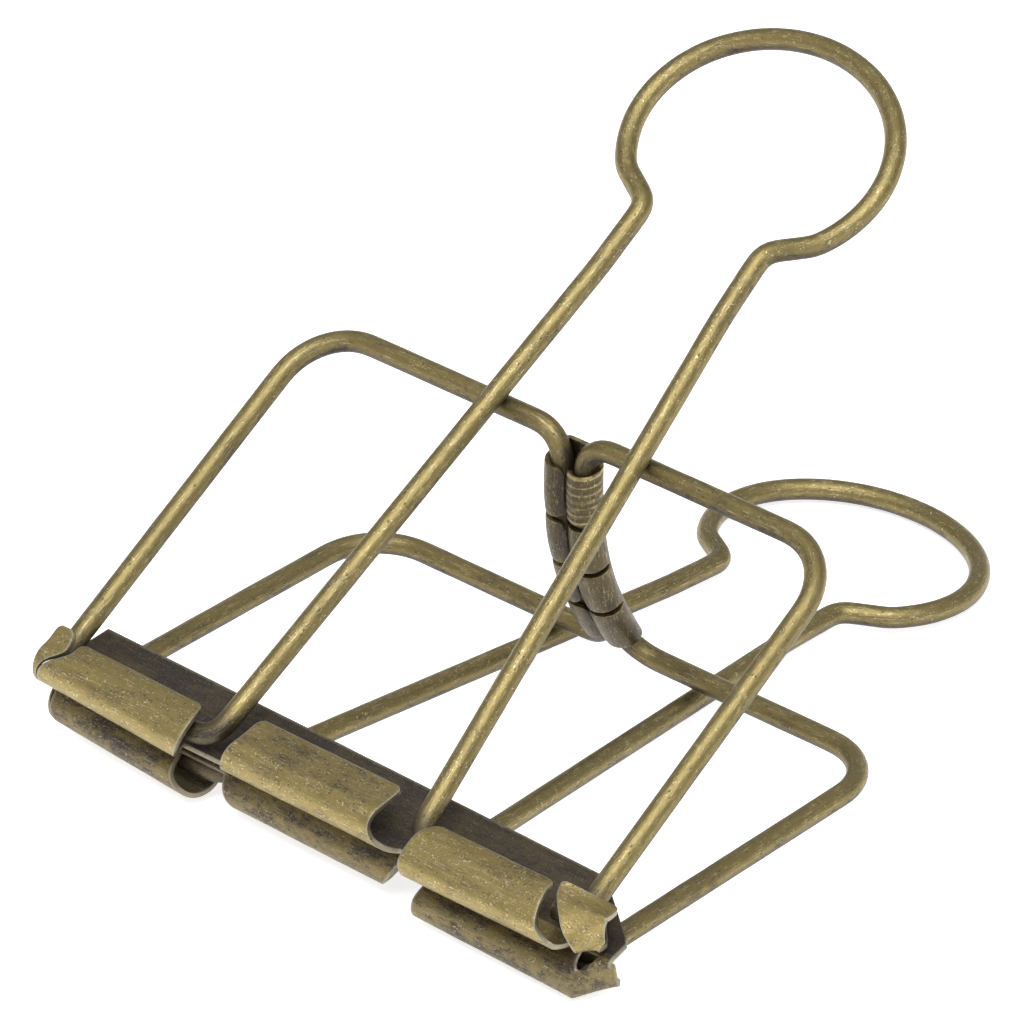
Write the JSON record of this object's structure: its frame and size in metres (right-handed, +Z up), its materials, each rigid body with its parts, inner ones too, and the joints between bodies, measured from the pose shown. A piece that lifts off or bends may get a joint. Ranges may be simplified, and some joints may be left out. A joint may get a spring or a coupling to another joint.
{
  "type": "skeleton wire binder clip",
  "caption": "Open wire-frame binder clip with curled sheet jaws, a crimped spine clamp and keyhole wire handles that fold.",
  "frame": {"origin": "centre of the footprint, on the surface that the clip lies on", "axes": "+X along the jaws, +Y from the mouth back towards the handles' loops, +Z up; the clip lies on its lower jaw and its lower handle, as in use on a bench"},
  "size_m": [0.0582, 0.077, 0.0493],
  "materials": {
    "spring_wire": "antique brass plating on spring steel, brushed, worn bright on its highest sides",
    "handle_wire": "antique brass plating on steel wire, brushed and speckled",
    "jaw_sheet": "antique brass plating with brown patina, bright worn rims",
    "clamp_sheet": "dark antique brass plating with a blue-grey sheen"
  },
  "bodies": {
    "spine": {"spine_clamp": "clamp_sheet", "left_spring_spine": "spring_wire", "right_spring_spine": "spring_wire"},
    "upper_jaw": {"upper_jaw": "jaw_sheet", "left_upper_spring_arm": "spring_wire", "right_upper_spring_arm": "spring_wire"},
    "lower_jaw": {"lower_jaw": "jaw_sheet", "left_lower_spring_arm": "spring_wire", "right_lower_spring_arm": "spring_wire"},
    "upper_handle": {"upper_handle": "handle_wire"},
    "lower_handle": {"lower_handle": "handle_wire"}
  },
  "joints": [
    {"name": "upper_jaw_open", "type": "hinge", "parent": "spine", "child": "upper_jaw", "pos_m": [-0.00109, -0.00586, 0.02511], "axis": [-1, 0, 0], "range_deg": [0, 20], "stiffness_Nm_per_rad": 4.7, "springref_deg": -5.16},
    {"name": "lower_jaw_open", "type": "hinge", "parent": "spine", "child": "lower_jaw", "pos_m": [-0.00109, 0.00075, 0.00383], "axis": [1, 0, 0], "range_deg": [0, 20], "stiffness_Nm_per_rad": 4.7, "springref_deg": -5.16},
    {"name": "upper_handle_fold", "type": "hinge", "parent": "upper_jaw", "child": "upper_handle", "pos_m": [-0.00109, -0.03535, 0.00631], "axis": [1, 0, 0], "range_deg": [0, 160]},
    {"name": "lower_handle_fold", "type": "hinge", "parent": "lower_jaw", "child": "lower_handle", "pos_m": [-0.00109, -0.0342, 0.00262], "axis": [-1, 0, 0], "range_deg": [0, 160]}
  ],
  "couplings": [
    {"joint": "lower_jaw_open", "follows": "upper_jaw_open", "ratio": 1}
  ]
}
